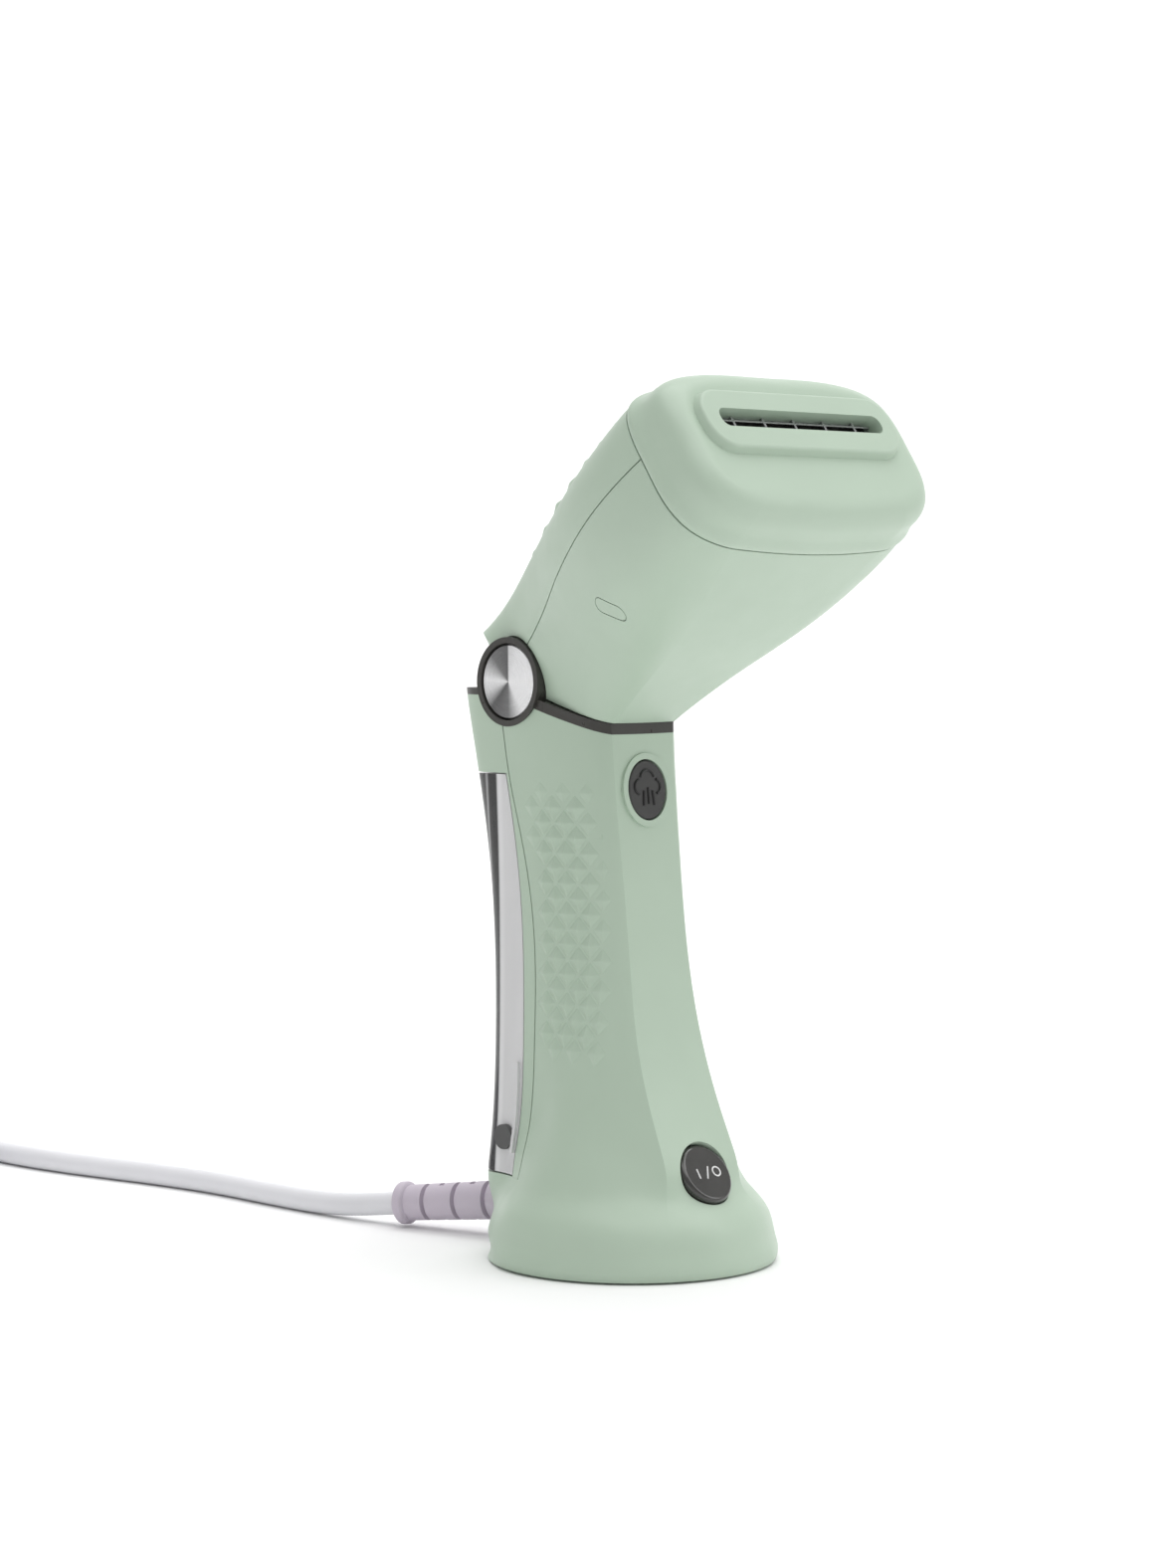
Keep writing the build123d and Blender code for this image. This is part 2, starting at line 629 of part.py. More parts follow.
def head_upper(wall):
    """Side outline of the head above the collar: its floor, rear end and a roomy front."""
    floor = trim_z(0) + GAP + wall * sqrt(1 + TRIM_SLOPE ** 2)
    rear = side_view(-6.7 + wall, 21.5)
    top = side_view(3.0, 28.6 - wall)
    with BuildPart() as region:
        with BuildSketch(SIDE):
            with BuildLine():
                Polyline(top, side_view(60, 34), side_view(130, 40), side_view(130, -60),
                         (-120, floor - TRIM_SLOPE * 120),
                         (HINGE_Y, floor + TRIM_SLOPE * HINGE_Y + 0.001),
                         hinge_polar(17 + wall, REAR_EDGE_ANGLE), rear)
                ThreePointArc(rear, side_view(-4.4 + wall, 25.9 - wall), top)
            make_face()
        extrude(amount=REACH, both=True)
    return region


def head_volume(loft_body, wall):
    """The head's body with its end turned down into the collar."""
    with BuildPart() as skirt:
        add(hinge_barrel(-wall).part)
        add(loft_body.part, mode=Mode.INTERSECT)
        add(across(SIDE, (HINGE_Y, HINGE_Z), hinge_polar(60, radians(-25)),
                   hinge_polar(60, radians(60))).part, mode=Mode.INTERSECT)
    with BuildPart() as plan:
        with BuildSketch(HEAD_FLOOR.offset(-60)):
            with BuildLine():
                end, half, corner = 7.4 - wall, 18.6 - wall, 7.0
                lower = 1 - sqrt(0.5)
                for side in (-1, 1):
                    ThreePointArc((side * (half - corner), end),
                                  (side * (half - lower * corner), end - lower * corner),
                                  (side * half, end - corner))
                    Line((side * half, end - corner), (side * 60, -30))
                    Line((side * 60, -30), (side * 60, -140))
                Line((corner - half, end), (half - corner, end))
                Line((-60, -140), (60, -140))
            make_face()
        extrude(amount=140)
    with BuildPart() as volume:
        add(loft_body.part)
        add(head_upper(wall).part, mode=Mode.INTERSECT)
        add(plan.part, mode=Mode.INTERSECT)
        add(skirt.part)
    return volume


head_solid = head_volume(head_outer, 0)
head_hollow = head_volume(head_inner, WALL)
ring_space = hinge_discs(EAR_R + GAP, EAR_IN - GAP, EAR_OUT + 5)
knuckle_space = hinge_drum(KNUCKLE_R, EAR_IN)
parting_low = across(HEAD_SIDE, (PARTING_REAR, -60), (NOSE_SEAM - SEAM, -60),
                     (NOSE_SEAM - SEAM, PARTING_Q), (PARTING_REAR, PARTING_Q))
parting_high = across(HEAD_SIDE, (-40, 60), (NOSE_SEAM - SEAM, 60),
                      (NOSE_SEAM - SEAM, PARTING_Q + SEAM), (PARTING_REAR - SEAM, PARTING_Q + SEAM),
                      (PARTING_REAR - SEAM, -60), (-40, -60))



def latch_prism(side, margin):
    """Slanted oval through one side of the head."""
    with BuildPart() as prism:
        with BuildSketch(Plane(origin=HINGE + Vector(side * 20, 0, 0), x_dir=HEAD_AXIS,
                               z_dir=(-1, 0, 0))):
            with Locations(LATCH_AT):
                SlotOverall(LATCH_SIZE[0] - 2 * margin, LATCH_SIZE[1] - 2 * margin,
                            rotation=LATCH_TURN)
        extrude(amount=-side * 40)
    return prism


with BuildPart() as head_front_shell:
    add(head_solid.part)
    add(head_hollow.part, mode=Mode.SUBTRACT)
    add(parting_low.part, mode=Mode.INTERSECT)
    add(ring_space.part, mode=Mode.SUBTRACT)
    add(knuckle_space.part, mode=Mode.SUBTRACT)
    for side in (-1, 1):
        add(latch_prism(side, 0).part, mode=Mode.SUBTRACT)
save(head_front_shell, "head_front_shell")

for name, side in (("left", -1), ("right", 1)):
    with BuildPart() as latch_inset:
        add(head_solid.part)
        add(head_hollow.part, mode=Mode.SUBTRACT)
        add(latch_prism(side, 0.25).part, mode=Mode.INTERSECT)
    save(latch_inset, f"latch_inset_{name}")

with BuildPart() as head_rear_cover:
    add(head_solid.part)
    add(head_hollow.part, mode=Mode.SUBTRACT)
    add(parting_high.part, mode=Mode.INTERSECT)
    add(ring_space.part, mode=Mode.SUBTRACT)
    add(knuckle_space.part, mode=Mode.SUBTRACT)
save(head_rear_cover, "head_rear_cover")

with BuildPart() as nose_cap:
    add(nose_body(0).part)
    # raised rim round the steam slot
    with BuildSketch(head_plane(NOSE_FACE - 1)):
        with Locations((0, RIM_Q)):
            RectangleRounded(RIM_SIZE[0], RIM_SIZE[1], RIM_SIZE[1] * 0.44)
    extrude(amount=NOSE_RIM - NOSE_FACE + 1, taper=20)
    fillet(nose_cap.faces().sort_by(Axis(HINGE, HEAD_AXIS))[-1].edges(), 1.0)
    add(nose_body(WALL).part, mode=Mode.SUBTRACT)
    with BuildSketch(head_plane(NOSE_FACE - 8)):
        with Locations((0, SLOT_Q)):
            RectangleRounded(*SLOT_SIZE, SLOT_SIZE[1] * 0.45)
    extrude(amount=20, mode=Mode.SUBTRACT)
save(nose_cap, "nose_cap")

with BuildPart() as steam_plate:
    with BuildSketch(head_plane(PLATE_BACK)):
        with Locations((0, SLOT_Q)):
            RectangleRounded(SLOT_SIZE[0] + 8, SLOT_SIZE[1] + 6, 3)
            RectangleRounded(SLOT_SIZE[0] - 4, SLOT_SIZE[1] - 1.5, 1.5, mode=Mode.SUBTRACT)
    extrude(amount=NOSE_FACE - WALL - PLATE_BACK)
    with BuildSketch(head_plane(PLATE_BACK)):
        with Locations(*[(0, SLOT_Q + dq) for dq in LOUVRE_ROWS]):
            Rectangle(SLOT_SIZE[0] - 3, 0.5)
        with Locations(*[(x, SLOT_Q) for x in range(-24, 25, 12)]):
            Rectangle(0.8, SLOT_SIZE[1] - 1)
    extrude(amount=NOSE_FACE - 0.6 - PLATE_BACK)
save(steam_plate, "steam_plate")

with BuildPart() as steam_duct:
    with BuildSketch(head_plane(BOILER_U[1])):
        RectangleRounded(36, 14, 4)
    with BuildSketch(head_plane(PLATE_BACK)):
        with Locations((0, SLOT_Q)):
            RectangleRounded(SLOT_SIZE[0] + 6, SLOT_SIZE[1] + 5, 4)
    loft()
    with BuildSketch(head_plane(BOILER_U[1])):
        RectangleRounded(32, 10, 3)
    with BuildSketch(head_plane(PLATE_BACK)):
        with Locations((0, SLOT_Q)):
            RectangleRounded(SLOT_SIZE[0] - 2, SLOT_SIZE[1] - 1.5, 2)
    loft(mode=Mode.SUBTRACT)
save(steam_duct, "steam_duct")

with BuildPart() as boiler:
    with BuildSketch(HEAD_FLOOR.offset(BOILER_Q[0])):
        with Locations((0, -sum(BOILER_U) / 2)):
            RectangleRounded(2 * BOILER_HALF, BOILER_U[1] - BOILER_U[0], 6)
    extrude(amount=BOILER_Q[1] - BOILER_Q[0])
    with BuildSketch(HEAD_FLOOR.offset(BOILER_Q[0] + 4)):
        with Locations((0, -sum(BOILER_U) / 2)):
            RectangleRounded(2 * BOILER_HALF - 10, BOILER_U[1] - BOILER_U[0] - 10, 3)
    extrude(amount=40, mode=Mode.SUBTRACT)
    with BuildSketch(head_plane(BOILER_U[1] - 8)):
        RectangleRounded(32, 10, 3)
    extrude(amount=10, mode=Mode.SUBTRACT)
    with BuildSketch(head_plane(BOILER_U[0] - 2)):
        Circle(HOSE_R)
    extrude(amount=10, mode=Mode.SUBTRACT)
save(boiler, "boiler")

with BuildPart() as boiler_gasket:
    with BuildSketch(HEAD_FLOOR.offset(BOILER_Q[1])):
        with Locations((0, -sum(BOILER_U) / 2)):
            RectangleRounded(2 * BOILER_HALF, BOILER_U[1] - BOILER_U[0], 6)
            RectangleRounded(2 * BOILER_HALF - 9, BOILER_U[1] - BOILER_U[0] - 9, 3,
                             mode=Mode.SUBTRACT)
    extrude(amount=1)
save(boiler_gasket, "boiler_gasket")

with BuildPart() as boiler_lid:
    with BuildSketch(HEAD_FLOOR.offset(BOILER_Q[1] + 1)):
        with Locations((0, -sum(BOILER_U) / 2)):
            RectangleRounded(2 * BOILER_HALF, BOILER_U[1] - BOILER_U[0], 6)
    extrude(amount=3)
    with BuildSketch(HEAD_FLOOR.offset(BOILER_Q[1] + 4)):
        with Locations(*[(x, -u) for x in (-22, 22) for u in (50, 87)]):
            Circle(2.6)
    extrude(amount=1.6)
save(boiler_lid, "boiler_lid")

with BuildPart() as heating_element:
    with BuildLine():
        FilletPolyline(head_point(-16, 38, ELEMENT_Q), head_point(-16, 86, ELEMENT_Q),
                       head_point(16, 86, ELEMENT_Q), head_point(16, 38, ELEMENT_Q), radius=12)
    with BuildSketch(Plane(origin=head_point(-16, 38, ELEMENT_Q), z_dir=HEAD_AXIS)):
        Circle(3.2)
    sweep()
save(heating_element, "heating_element")

with BuildPart() as thermostat:
    with BuildSketch(HEAD_FLOOR.offset(BOILER_Q[1] + 4)):
        with Locations((0, -78)):
            Circle(7.6)
    extrude(amount=5)
save(thermostat, "thermostat")

with BuildPart() as thermal_fuse:
    with BuildSketch(head_plane(54)):
        with Locations((0, BOILER_Q[1] + 6.1)):
            Circle(2.1)
    extrude(amount=11)
save(thermal_fuse, "thermal_fuse")

with BuildPart() as hinge_knuckle:
    add(hinge_drum(KNUCKLE_R, KNUCKLE_HALF).part)
    with BuildSketch(head_plane(6)):
        RectangleRounded(20, 17, 2)
    extrude(amount=24)
    add(hinge_drum(PIN_R + RUNNING, 20).part, mode=Mode.SUBTRACT)
    with BuildSketch(head_plane(0)):
        Circle(HOSE_R)
    extrude(amount=40, mode=Mode.SUBTRACT)
save(hinge_knuckle, "hinge_knuckle")

with BuildPart() as water_hose_upper:
    with BuildSketch(head_plane(8)):
        Circle(HOSE_R)
        Circle(HOSE_R - 1, mode=Mode.SUBTRACT)
    extrude(amount=BOILER_U[0] + 3 - 8)
save(water_hose_upper, "water_hose_upper")

# ---------------------------------------------------------------- hoses in the handle

def hose(points, radius):
    """Bent tube with a bore along a route with equal bends."""
    start, nxt = Vector(*points[0]), Vector(*points[1])
    with BuildPart() as tube:
        with BuildLine():
            FilletPolyline(*points, radius=radius)
        with BuildSketch(Plane(origin=start, z_dir=nxt - start)):
            Circle(HOSE_R)
            Circle(HOSE_R - 1, mode=Mode.SUBTRACT)
        sweep()
    return tube


save(hose([(0, 18.4, INLET_Z), (0, 6, INLET_Z), (0, 6, 38)], 4.5), "inlet_hose")
save(hose([(0, 6, 84), (0, 6, 92), (0, 13, 104), (0, 13, 136), (0, 20, 147)], 6), "water_hose_lower")

# ---------------------------------------------------------------- strain relief and mains lead
with BuildPart() as strain_relief:
    with BuildSketch(relief_plane(0)):
        Circle(7.3)
    extrude(amount=2.4)
    with BuildSketch(relief_plane(2.4)):
        Circle(RELIEF_NECK_R - 0.05)
    with BuildSketch(relief_plane(relief_length - 4)):
        Circle(5.4)
    loft()
    with BuildSketch(relief_plane(relief_length - 4)):
        Circle(6.4)
    extrude(amount=4)
    fillet(strain_relief.edges().sort_by(Axis(RELIEF_START, relief_axis))[-2:], 1.2)
    with BuildSketch(relief_plane(-1)):
        Circle(CORD_R)
    extrude(amount=relief_length + 2, mode=Mode.SUBTRACT)
save(strain_relief, "strain_relief")

with BuildPart() as inner_lead:
    with BuildSketch(relief_plane(-16)):
        Circle(CORD_R)
    extrude(amount=relief_length + 16)
save(inner_lead, "inner_lead")

with BuildPart() as cord_clamp:
    with Locations((5, 23, 8.7)):
        Box(24, 6, 10.8)
    with Locations(*[(x, 23, 14.1) for x in (-4, 14)]):
        Cylinder(2.4, 2.4, align=(Align.CENTER, Align.CENTER, Align.MIN))
    add(inner_lead.part, mode=Mode.SUBTRACT)
    with Locations((5, 23, 14)):
        Cylinder(CORD_R, 8, mode=Mode.SUBTRACT)
save(cord_clamp, "cord_clamp")

LIE = CORD_R + 0.1          # height of the lead's middle on the surface
relief_tip = Vector(*RELIEF_START) + relief_axis * relief_length
CORD_ROUTE = [
    tuple(relief_tip), (-17.6, 101, 4.6), (-19.2, 118, LIE), (-19.6, 140, LIE), (-19.2, 165, LIE),
    (-21.8, 190, LIE), (-26.6, 214, LIE), (-31.0, 238, LIE), (-33.0, 262, LIE), (-31.6, 278, LIE),
    (-28.9, 292, LIE),
]


def turn_at(before, corner, after):
    """Angle, in degrees, by which the route turns at a point."""
    return (Vector(*corner) - Vector(*before)).get_angle(Vector(*after) - Vector(*corner))


def bend_radii(route):
    """Largest radii that the runs allow, one for each inner point."""
    radii = []
    for before, corner, after in zip(route, route[1:], route[2:]):
        run = min((Vector(*corner) - Vector(*before)).length, (Vector(*after) - Vector(*corner)).length)
        radii.append(0.45 * run / tan(radians(turn_at(before, corner, after) / 2)))
    return radii


def cord_tube(route):
    """Lead along a route of straight runs and tangent arcs."""
    radii = bend_radii(route)
    with BuildPart() as tube:
        with BuildLine() as path:
            FilletPolyline(*route, radius=radii)
        with BuildSketch(Plane(origin=route[0], z_dir=Vector(*route[1]) - Vector(*route[0]))):
            Circle(CORD_R)
        sweep()
    length = path.wire().length
    print("bend radii", [round(r) for r in radii], "length", round(length),
          "volume share", round(tube.part.volume / (pi * CORD_R ** 2 * length), 4))
    return tube


save(cord_tube(CORD_ROUTE), "power_cord")

COIL_TOP = 0.1 + CORD_D * 2
COIL_INNER, COIL_OUTER = COIL_RADII[0] - CORD_R, COIL_RADII[1] + CORD_R
with BuildPart() as cord_coil:
    with BuildSketch(Plane.XY.offset(0.1)):
        with Locations(COIL_CENTRE):
            Circle(COIL_OUTER)
            Circle(COIL_INNER, mode=Mode.SUBTRACT)
    extrude(amount=COIL_TOP - 0.1)
    fillet(cord_coil.edges(), 3.0)
    with BuildSketch(Plane(origin=(*COIL_CENTRE, 0), x_dir=(1, 0, 0), z_dir=(0, -1, 0))):
        with Locations((CROWN_R, CROWN_Z)):
            Circle(CORD_R)
    revolve(axis=Axis((*COIL_CENTRE, 0), (0, 0, 1)), revolution_arc=180)
save(cord_coil, "cord_coil")

TIE_WIDTH = 10
with BuildPart() as cord_tie:
    tie_plane = Plane(origin=(*COIL_CENTRE, 0), x_dir=(0, -1, 0), z_dir=(-1, 0, 0))
    with BuildSketch(tie_plane.offset(-TIE_WIDTH / 2)):
        with Locations(((COIL_INNER + COIL_OUTER) / 2, COIL_TOP / 2 + 0.05)):
            RectangleRounded(COIL_OUTER - COIL_INNER + 3.6, COIL_TOP + 2.2, 4)
            RectangleRounded(COIL_OUTER - COIL_INNER + 1.2, COIL_TOP - 0.1, 2, mode=Mode.SUBTRACT)
    extrude(amount=TIE_WIDTH)
    # open underneath, where the coil lies on the surface
    with Locations((COIL_CENTRE[0], COIL_CENTRE[1] - (COIL_INNER + COIL_OUTER) / 2)):
        Box(2 * TIE_WIDTH, COIL_OUTER, 20, align=(Align.CENTER, Align.CENTER, Align.MAX), mode=Mode.SUBTRACT)
        Box(2 * TIE_WIDTH, COIL_OUTER - COIL_INNER, 1, align=(Align.CENTER, Align.CENTER, Align.MIN),
            mode=Mode.SUBTRACT)
save(cord_tie, "cord_tie")

PLUG_X, PLUG_BACK, PLUG_Z = -107.5, 246.0, 9.2
LEAD_ROUTE = [
    (-113.8, 302.8, CROWN_Z), (-113.8, 287, 17.6), (-113.0, 275, 16.8), (-110.0, 259, 10.2),
    (PLUG_X, PLUG_BACK, PLUG_Z),
]
save(cord_tube(LEAD_ROUTE), "plug_lead")


def plug_plane(distance):
    """Plane across the plug, this far from its back."""
    return Plane(origin=(PLUG_X, PLUG_BACK - distance, PLUG_Z), x_dir=(1, 0, 0), z_dir=(0, -1, 0))


with BuildPart() as plug_body:
    with BuildSketch(plug_plane(0)):
        Circle(4.6)
    with BuildSketch(plug_plane(14)):
        Circle(5.8)
    loft()
    with BuildSketch(plug_plane(12)):
        RectangleRounded(19, 15, 5)
    with BuildSketch(plug_plane(22)):
        RectangleRounded(25, 17.6, 6)
    with BuildSketch(plug_plane(36)):
        RectangleRounded(26, 18, 6)
    loft()
save(plug_body, "plug_body")

with BuildPart() as plug_blades:
    with BuildSketch(plug_plane(36)):
        with GridLocations(BLADE_PITCH, 1, 2, 1):
            Rectangle(1.5, 6.4)
    extrude(amount=17)
    chamfer(plug_blades.faces().filter_by(Axis.Y).sort_by(Axis.Y)[:2].edges(), 0.4)
save(plug_blades, "plug_blades")
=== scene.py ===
"""Looks of the handheld garment steamer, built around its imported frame. Metres, +Z up, -Y the front."""
import json
from math import cos, pi, radians, sin

import bmesh
import bpy
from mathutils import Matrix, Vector
from mathutils.bvhtree import BVHTree


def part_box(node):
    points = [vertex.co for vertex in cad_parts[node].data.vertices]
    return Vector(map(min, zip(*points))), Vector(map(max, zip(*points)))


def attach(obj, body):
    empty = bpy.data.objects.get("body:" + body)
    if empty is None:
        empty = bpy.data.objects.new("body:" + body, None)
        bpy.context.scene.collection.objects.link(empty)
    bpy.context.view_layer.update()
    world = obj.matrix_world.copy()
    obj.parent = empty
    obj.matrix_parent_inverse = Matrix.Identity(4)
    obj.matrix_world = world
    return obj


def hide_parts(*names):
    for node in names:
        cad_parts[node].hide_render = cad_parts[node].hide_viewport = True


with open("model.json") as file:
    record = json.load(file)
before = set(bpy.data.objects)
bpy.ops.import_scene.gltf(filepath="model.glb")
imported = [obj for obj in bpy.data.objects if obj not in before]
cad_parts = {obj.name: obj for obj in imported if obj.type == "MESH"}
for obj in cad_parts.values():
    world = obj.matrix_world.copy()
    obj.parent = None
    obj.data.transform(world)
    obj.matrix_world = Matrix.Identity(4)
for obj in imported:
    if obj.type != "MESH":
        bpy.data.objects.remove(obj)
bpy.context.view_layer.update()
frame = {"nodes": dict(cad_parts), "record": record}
NODES = frame["nodes"]
MM = 0.001
scene = bpy.context.scene


def mm(x, y, z):
    """Point given in millimetres."""
    return Vector((x * MM, y * MM, z * MM))


def link(obj):
    """Put the object in the scene."""
    scene.collection.objects.link(obj)
    return obj


# ---------------------------------------------------------------- camera
CAMERA_AT = mm(-695.3, -701.5, 187.7)
CAMERA_LOOK = Vector((0.6937, 0.7184, -0.0521))
CAMERA_LENS, CAMERA_SENSOR = 79.63, 36.0

camera_data = bpy.data.cameras.new("camera")
camera_data.lens = CAMERA_LENS
camera_data.sensor_width = CAMERA_SENSOR
camera_data.clip_start = 0.01
camera = link(bpy.data.objects.new("camera", camera_data))
camera.location = CAMERA_AT
camera.rotation_euler = CAMERA_LOOK.to_track_quat("-Z", "Y").to_euler()
scene.camera = camera

# ---------------------------------------------------------------- the mains lead's route, mm
LEAD_D = 7.0
LIE = LEAD_D / 2 + 0.1
LEAD_START = [
    (-14.0, 85.0, 6.9), (-17.6, 101, 4.6), (-19.2, 118, LIE), (-19.6, 140, LIE), (-19.2, 165, LIE),
    (-21.8, 190, LIE), (-26.6, 214, LIE), (-31.0, 238, LIE), (-33.0, 262, LIE), (-31.6, 278, LIE),
    (-28.9, 292, LIE),
]
COIL_CENTRE = (-72.8, 302.8)
COIL_COLUMNS = (44.5, 37.5, 30.5)
COIL_CROWN = (41.0, 16.7)
POINTS_PER_TURN = 16
LEAD_END = [(-113.8, 287, 17.6), (-113.0, 275, 16.8), (-110.0, 259, 10.2), (-107.5, 246, 9.2)]


def coil_points():
    """Turns of the coil: in along the floor, out along the second layer, half a turn on top."""
    upper = LIE + LEAD_D
    legs = [(COIL_COLUMNS[0], LIE), (COIL_COLUMNS[1], LIE), (COIL_COLUMNS[2], LIE),
            (COIL_COLUMNS[2], upper), (COIL_COLUMNS[1], upper), (COIL_COLUMNS[0], upper), COIL_CROWN]
    control_scale = 1 / cos(pi / POINTS_PER_TURN)
    steps = round((len(legs) - 0.5) * POINTS_PER_TURN)
    points = []
    for step in range(1, steps + 1):
        share = step / POINTS_PER_TURN
        leg = min(int(share), len(legs) - 1)
        into = min(1.0, max(0.0, (share - leg - 0.8) / 0.2))
        into = into * into * (3 - 2 * into)
        after = legs[min(leg + 1, len(legs) - 1)]
        radius = (legs[leg][0] + (after[0] - legs[leg][0]) * into) * control_scale
        height = legs[leg][1] + (after[1] - legs[leg][1]) * into
        angle = share * 2 * pi
        points.append((COIL_CENTRE[0] + radius * cos(angle), COIL_CENTRE[1] + radius * sin(angle), height))
    return points


def nurbs(name, points, radius):
    """Open spline tube through control points in millimetres."""
    curve = bpy.data.curves.new(name, "CURVE")
    curve.dimensions = "3D"
    curve.bevel_depth = radius * MM
    curve.bevel_resolution = 6
    curve.resolution_u = 8
    curve.use_fill_caps = True
    spline = curve.splines.new("NURBS")
    spline.points.add(len(points) - 1)
    for point, place in zip(spline.points, points):
        point.co = (*mm(*place), 1)
    spline.order_u = 3
    spline.use_endpoint_u = True
    return link(bpy.data.objects.new(name, curve))


# ---------------------------------------------------------------- materials
def new_material(name):
    """Material, its nodes and its links."""
    material = bpy.data.materials.new(name)
    material.use_nodes = True
    return material, material.node_tree.nodes, material.node_tree.links


def noise(nodes, links, scale, detail=2.0, stretch=(1, 1, 1)):
    """Noise over the object's own space, in metres."""
    place = nodes.new("ShaderNodeTexCoord")
    mapping = nodes.new("ShaderNodeMapping")
    mapping.inputs["Scale"].default_value = stretch
    texture = nodes.new("ShaderNodeTexNoise")
    texture.inputs["Scale"].default_value = scale
    texture.inputs["Detail"].default_value = detail
    links.new(place.outputs["Object"], mapping.inputs["Vector"])
    links.new(mapping.outputs["Vector"], texture.inputs["Vector"])
    return texture.outputs["Fac"]


def spread(nodes, links, value, low, high):
    """The value's middle range mapped to low..high."""
    ranged = nodes.new("ShaderNodeMapRange")
    ranged.inputs["From Min"].default_value = 0.3
    ranged.inputs["From Max"].default_value = 0.7
    ranged.inputs["To Min"].default_value = low
    ranged.inputs["To Max"].default_value = high
    links.new(value, ranged.inputs["Value"])
    return ranged.outputs["Result"]


def tinted(nodes, links, value, first, second):
    """Colour between two, by the value."""
    mix = nodes.new("ShaderNodeMix")
    mix.data_type = "RGBA"
    mix.inputs["A"].default_value = (*first, 1)
    mix.inputs["B"].default_value = (*second, 1)
    links.new(value, mix.inputs["Factor"])
    return mix.outputs["Result"]


def bump(nodes, links, value, strength, distance):
    """Normal of a surface raised and lowered by the value."""
    node = nodes.new("ShaderNodeBump")
    node.inputs["Strength"].default_value = strength
    node.inputs["Distance"].default_value = distance
    links.new(value, node.inputs["Height"])
    return node.outputs["Normal"]


def ramped(nodes, links, value, stops):
    """Grey tone by the value, through stops of place and level."""
    ramp = nodes.new("ShaderNodeValToRGB")
    for index, (at, level) in enumerate(stops):
        stop = ramp.color_ramp.elements[index] if index < 2 else ramp.color_ramp.elements.new(at)
        stop.position = at
        stop.color = (level, level, level * 1.01, 1)
    links.new(value, ramp.inputs["Fac"])
    return ramp.outputs["Color"]


def plastic(name, colour, rough=(0.38, 0.48), shade=0.94, grain=2600, grain_depth=0.00002,
            coat=0.0, specular=0.5, subsurface=0.0):
    """Moulded plastic or rubber: mottled tone, fine spark-eroded grain, uneven gloss."""
    material, nodes, links = new_material(name)
    shader = nodes["Principled BSDF"]
    tone = spread(nodes, links, noise(nodes, links, 45, 3), 0, 1)
    darker = tuple(c * shade for c in colour)
    links.new(tinted(nodes, links, tone, darker, colour), shader.inputs["Base Color"])
    links.new(spread(nodes, links, noise(nodes, links, 160, 4), *rough), shader.inputs["Roughness"])
    links.new(bump(nodes, links, noise(nodes, links, grain, 2), 0.35, grain_depth), shader.inputs["Normal"])
    shader.inputs["Coat Weight"].default_value = coat
    shader.inputs["Coat Roughness"].default_value = 0.08
    shader.inputs["Specular IOR Level"].default_value = specular
    shader.inputs["Subsurface Weight"].default_value = subsurface
    shader.inputs["Subsurface Radius"].default_value = (0.003, 0.003, 0.003)
    return material


def metal(name, colour, rough=(0.22, 0.34), streak=(1, 1, 30)):
    """Brushed metal, its fine lines drawn out along one direction."""
    material, nodes, links = new_material(name)
    shader = nodes["Principled BSDF"]
    lines = noise(nodes, links, 400, 3, streak)
    darker = tuple(c * 0.85 for c in colour)
    links.new(tinted(nodes, links, spread(nodes, links, lines, 0, 1), darker, colour),
              shader.inputs["Base Color"])
    links.new(spread(nodes, links, lines, *rough), shader.inputs["Roughness"])
    links.new(bump(nodes, links, lines, 0.2, 0.00002), shader.inputs["Normal"])
    shader.inputs["Metallic"].default_value = 1.0
    return material


